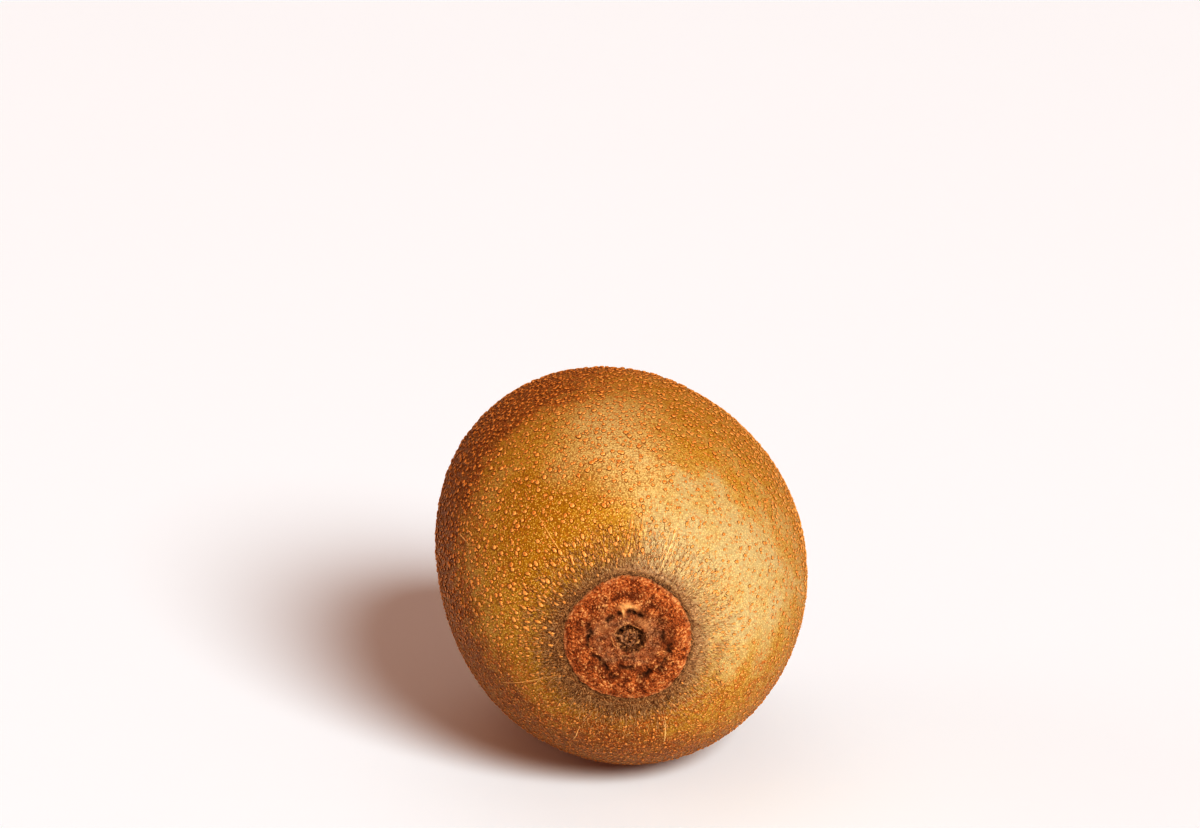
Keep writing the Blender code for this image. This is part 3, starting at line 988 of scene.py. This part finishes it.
def skin_colour(look):
    """The skin's colour without its lenticels, and the height of its grain."""
    olive_and_shaded = look.plus("olive_and_shade", look.swing(look.noise(5, 4.0), 0.28))
    brown_and_shade = look.plus("brown_and_shade", look.swing(look.noise(1.8, 3.0), 0.25))
    # The gold, deep gold and brown laid by the masks carry painted light and shade as well as the skin's own
    # colour.
    base = look.blend(GOLD, OLIVE, olive_and_shaded, -0.15, 1.15)
    base = look.blend(base, DEEP_OLIVE, olive_and_shaded, 1.0, 1.7, 0.8)
    base = look.blend(base, TAN_BROWN, brown_and_shade, 0.15, 0.75, 0.60)
    base = look.blend(base, DEEP_BROWN, brown_and_shade, 0.45, 1.05, 0.90)
    # Painted sheen: a pale painted highlight laid into the colour.
    base = look.cover(base, SHEEN_TAN, "painted_sheen", 0.60)
    specks = look.plus(look.cells(0.42), look.swing(look.noise(0.9, 2.0), -0.25))
    orange = look.times(look.rise(specks, 0.42, 0.22), look.rise(brown_and_shade, 0.0, 0.7, 0.25, 0.90))
    base = look.mix(orange, base, SPECK_ORANGE)
    flecks = look.plus(look.cells(0.27), look.swing(look.noise(0.16, 2.0, 0.6), 0.15))
    base = look.blend(base, SPECK_PALE, flecks, 0.36, 0.18, 0.60)
    gaps = look.times(look.rise(flecks, 0.50, 0.72), look.rise(olive_and_shaded, 0.2, 1.0, 0.18, 0.52))
    base = look.mix(gaps, base, GAP_BROWN)
    strand = look.noise(0.20, 3.0, 0.75, place=radial_place(look, 4.0))
    base = stem_ring_colour(look, base, strand, flecks)
    fine_strand = look.times(strand, look.times("velvet", 0.5))
    height = look.math("SUBTRACT", fine_strand, flecks)
    return base, look.times(height, look.rise("olive_and_shade", 0.2, 0.9, 0.45, 1.0))


def stem_ring_colour(look, base, strand, flecks):
    """The velvet ring round the scar, its shade and painted shade in the trench, laid over the skin's colour.
    """
    fuzz = look.plus(look.times(strand, 0.7), look.rise(flecks, 0.6, 0.1, 0.0, 0.3))
    velvet = look.blend(VELVET_DARK, VELVET_BROWN, fuzz, 0.38, 0.50)
    velvet = look.blend(velvet, VELVET_GREY, fuzz, 0.50, 0.66)
    # Painted light: the ring is paler ash towards the key light, partly its own colour.
    velvet = look.blend(velvet, VELVET_ASH, "olive_and_shade", 0.85, 0.25, 0.65)
    ragged = look.plus("velvet", look.swing(strand, 0.18))
    base = look.blend(base, velvet, ragged, 0.10, 1.0, 0.80)
    base = look.cover(base, VELVET_SHADE, "shade", look.rise(strand, 0.38, 0.58, 0.85, 0.15))
    # Painted shade in the trench round the scar.
    return look.cover(base, TRENCH_SHADE, "trench", 0.7)


def skin_look():
    """Thin, slightly waxy golden skin with a granular grain."""
    look = Look("golden_skin_surface", specular=0.22)
    base, height = skin_colour(look)
    look.feed("Base Color", look.cover(base, VELVET_BROWN, "flower", 0.8))
    look.feed("Roughness", look.rise(look.noise(1.4, 3.0), 0.3, 0.7, 0.42, 0.54))
    fine = look.bump(look.noise(0.16, 2.0, 0.6), 0.04)
    look.feed("Normal", look.bump(height, 0.085, under=fine))
    look.feed("Sheen Weight", 0.03)
    look.feed("Sheen Roughness", 0.4)
    look.feed("Sheen Tint", colour(236, 204, 170))
    return look.material


def lenticel_look():
    """Raised dots: an orange-brown middle, a pale shoulder and painted shade at the foot that fades into the
    skin.
    """
    look = Look("lenticel_surface", 0.36, 0.42)
    skin, _ = skin_colour(look)
    shoulder = look.blend(LENTICEL_PALE, LENTICEL_ORANGE, "tone", 0.2, 0.9, 0.6)
    shoulder = look.blend(shoulder, LENTICEL_ORANGE, "brown_and_shade", 0.35, 0.9, 0.70)
    shoulder = look.blend(shoulder, LENTICEL_ORANGE, "olive_and_shade", 0.8, 0.3, 0.60)
    shoulder = look.cover(shoulder, LENTICEL_PALE, "near", 0.8)
    core = look.blend(shoulder, LENTICEL_CORE, "tone", 0.1, 0.9, 0.85, 0.35)
    core = look.cover(core, shoulder, "near", 0.7)
    top = look.blend(shoulder, core, "lenticel", 0.68, 0.92)
    top = look.mix(look.rise(look.noise(0.2, 2.0, 0.6), 0.48, 0.66, 0.0, 0.4), top, SPECK_ORANGE)
    # Painted shade round the foot of each dot.
    foot = look.times(look.rise("lenticel", 0.0, 0.15), look.rise("lenticel", 0.42, 0.22))
    skin = look.mix(look.times(foot, 0.85), skin, FOOT_SHADE)
    look.feed("Base Color", look.blend(skin, top, "lenticel", 0.22, 0.55))
    look.feed("Normal", look.bump(look.noise(0.16, 2.0, 0.6), 0.03, 0.8))
    return look.material


def cork_colour(look, fine, patch, fibres):
    """The colour of the collar and of the floor inside it."""
    base = look.blend(CORK_RUST, CORK_RED, patch, 0.35, 0.65)
    base = look.cover(base, CORK_DARK, "inner", look.rise(patch, 0.42, 0.60, 0.1, 0.6))
    floor = look.blend(FLOOR_BROWN, FLOOR_PALE, fibres, 0.42, 0.60)
    floor = look.mix(look.rise(look.noise(0.8, 3.0, 0.6), 0.5, 0.35, 0.0, 0.6), floor, CORK_DARK)
    base = look.cover(base, floor, "floor", look.rise(patch, 0.38, 0.6, 0.95, 0.5))
    pores = look.plus(look.cells(0.30), look.swing(look.noise(0.8, 2.0), 0.16))
    base = look.blend(base, CORK_DARK, pores, 0.36, 0.16, 0.65)
    # Painted highlights on the grains' tops.
    lift = look.plus("lift", look.rise(fine, 0.32, 0.68, -0.50, 0.50))
    base = look.blend(base, CORK_BRIGHT, lift, 0.50, 1.0, 0.65)
    thread = look.math("SUBTRACT", look.noise(0.55, 3.0, 0.6, 1.5), 0.5)
    thread = look.rise(look.math("ABSOLUTE", thread), 0.022, 0.006, 0.0, 0.5)
    base = look.cover(base, RIM_PALE, "collar", thread)
    # Painted shade in the grains' hollows.
    base = look.blend(base, CORK_DARK, lift, 0.30, -0.10, 0.85)
    # Painted shade along the step from the collar down to the floor.
    return look.cover(base, CORK_DARK, "step", look.rise(patch, 0.40, 0.55, 0.0, 0.45))


def pit_colour(look, base):
    """The torn pit, darker partly by the cork's own brown and partly by painted shade, with painted shade in
    its crevices, the island in it and its rim, painted pale as a highlight where the light falls, laid over
    the cork's colour.
    """
    torn = look.noise(0.42, 2.0, 0.6)
    # The pit is darker, partly the cork's own brown and partly painted shade.
    base = look.cover(base, PIT_DARK, "pit", 0.75)
    base = look.cover(base, FLOOR_PALE, "island", 0.75)
    # Painted shade in the pit's crevices.
    base = look.cover(base, GROOVE_SHADE, "pit", look.rise(torn, 0.47, 0.38, 0.0, 0.85))
    base = look.cover(base, PIT_TAN, "pit", look.rise(torn, 0.53, 0.64, 0.0, 0.75))
    # Painted highlight on the pit's rim on the side the light comes from.
    return look.cover(base, PIT_TAN, "lit_pit_rim", 0.65)


def scar_look():
    """Rust-coloured cork: collar, floor, flakes, ridges, pit, grooves and a pale outer edge."""
    look = Look("stem_cork", 0.75, 0.2)
    fine = look.noise(0.24, 4.0, 0.85)
    patch = look.noise(1.3, 3.0, 0.6)
    fibres = look.noise(0.3, 4.0, 0.75, place=radial_place(look, 2.0))
    base = cork_colour(look, fine, patch, fibres)
    base = look.cover(base, CORK_BRIGHT, "flake", 0.8)
    base = look.cover(base, RIDGE_PALE, "ridge", look.rise(fibres, 0.38, 0.58, 0.30, 0.85))
    base = pit_colour(look, base)
    # Painted shade in the grooves.
    base = look.cover(base, GROOVE_SHADE, "groove", 0.92)
    base = look.cover(base, RIM_PALE, "edge", look.rise(look.noise(0.5), 0.35, 0.6, 0.0, 0.65))
    look.feed("Base Color", base)
    look.feed("Normal", look.bump(fine, 0.16))
    return look.material


def fibre_look(name):
    """Dry plant fibre, its tone set strand by strand."""
    dark, pale, roughness = FIBRES[name]
    look = Look(name, roughness, 0.3)
    tone = look.plus("tone", look.swing(look.noise(0.3), 0.2))
    look.feed("Base Color", look.blend(dark, pale, tone, 0.0, 1.0))
    look.feed("Normal", look.bump(look.noise(0.12), 0.02, 0.6))
    return look.material


# The scene.

def dress(piece, material, stands_for_fruit=False):
    """Gives a piece its material and lets it ride with the fruit."""
    piece.data.materials.append(material)
    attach(piece, "root")
    if stands_for_fruit:
        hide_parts(NODE)


def make_fruit():
    """Every visible piece of the fruit."""
    dress(make_skin(), skin_look(), stands_for_fruit=True)
    dress(make_scar(), scar_look())
    dots = lenticel_look()
    for settings in LENTICEL_SETS:
        dress(make_lenticels(*settings), dots)
    dress(make_velvet(), fibre_look("velvet_fibre"))
    dress(make_ring_fibres(), fibre_look("ring_fibre"))
    dress(make_fuzz(), fibre_look("fuzz_fibre"))
    dress(make_scratches(), fibre_look("scratch_cork"))
    dress(make_pit_strands(), fibre_look("pit_fibre"))
    dress(make_crown(), fibre_look("dried_styles"))


FLOOR_HALF_WIDTH = 4.0
FLOOR_TONES = (0.80, 0.93, 0.99, 1.0), (0.81, 0.94, 1.0, 1.0)
FLOOR_GLOW = (1.0, 0.38, 0.26, 1.0)


def make_floor():
    """A wide pale floor, with a faint warm glow that lightens the shadow on it."""
    half = FLOOR_HALF_WIDTH
    corners = np.array(((-half, -half, 0), (half, -half, 0), (half, half, 0), (-half, half, 0)))
    floor = make_mesh("floor", corners, [(0, 1, 2, 3)])
    look = Look("pale_floor", 0.65)
    look.feed("Base Color", look.mix(look.noise(250), *FLOOR_TONES))
    look.feed("Emission Color", FLOOR_GLOW)
    look.feed("Emission Strength", 0.045)
    floor.data.materials.append(look.material)


def make_camera():
    """The camera, where the photograph's camera was."""
    focal = LENS / SENSOR * IMAGE_WIDTH
    right = (FRUIT_PIXEL[0] - IMAGE_WIDTH / 2) / focal
    down = (FRUIT_PIXEL[1] - IMAGE_HEIGHT / 2) / focal
    fruit = Vector((right, 1.0, -down)) * CAMERA_DISTANCE
    turn = Matrix.Rotation(CAMERA_PITCH, 3, "X") @ Matrix.Rotation(CAMERA_YAW, 3, "Z")
    back = turn.transposed()
    camera = bpy.data.objects.new("camera", bpy.data.cameras.new("camera"))
    bpy.context.scene.collection.objects.link(camera)
    camera.data.lens = LENS
    camera.data.sensor_width = SENSOR
    camera.data.sensor_fit = "HORIZONTAL"
    camera.data.clip_start = 0.01
    camera.data.clip_end = 50.0
    camera.location = Vector(BODY_MIDDLE) - back @ fruit
    axes = [back @ Vector(axis) for axis in ((1, 0, 0), (0, 0, 1), (0, -1, 0))]
    camera.rotation_euler = Matrix(axes).transposed().to_euler()
    bpy.context.scene.camera = camera


def add_light(name, come_from, width, strength, tint):
    """A soft light far away: where it comes from, and how wide it looks from the fruit in degrees."""
    light = bpy.data.objects.new(name, bpy.data.lights.new(name, "SUN"))
    bpy.context.scene.collection.objects.link(light)
    light.data.angle = math.radians(width)
    light.data.energy = strength
    light.data.color = tint
    light.location = Vector(come_from)
    light.rotation_euler = Vector(come_from).to_track_quat("Z", "Y").to_euler()


def make_lights():
    """Soft studio light: a key from the right in front, weak ones from above and from the left, and
    warm light all round."""
    add_light("key", (0.38, -0.77, 0.51), 24.0, 2.68, (0.98, 1.0, 1.01))
    add_light("top", (-0.06, 0.42, 0.90), 50.0, 0.15, (1.0, 0.97, 0.94))
    add_light("left", (-0.90, 0.20, 0.28), 40.0, 0.22, (1.0, 0.94, 0.88))
    world = bpy.data.worlds.new("studio")
    world.use_nodes = True
    background = world.node_tree.nodes["Background"]
    background.inputs["Color"].default_value = (1.0, 0.56, 0.40, 1.0)
    background.inputs["Strength"].default_value = 0.22
    bpy.context.scene.world = world


def main():
    """Builds the scene."""
    make_fruit()
    make_floor()
    make_camera()
    make_lights()
    bpy.context.scene.view_settings.view_transform = "Standard"
    bpy.context.scene.view_settings.look = "Very High Contrast"


main()
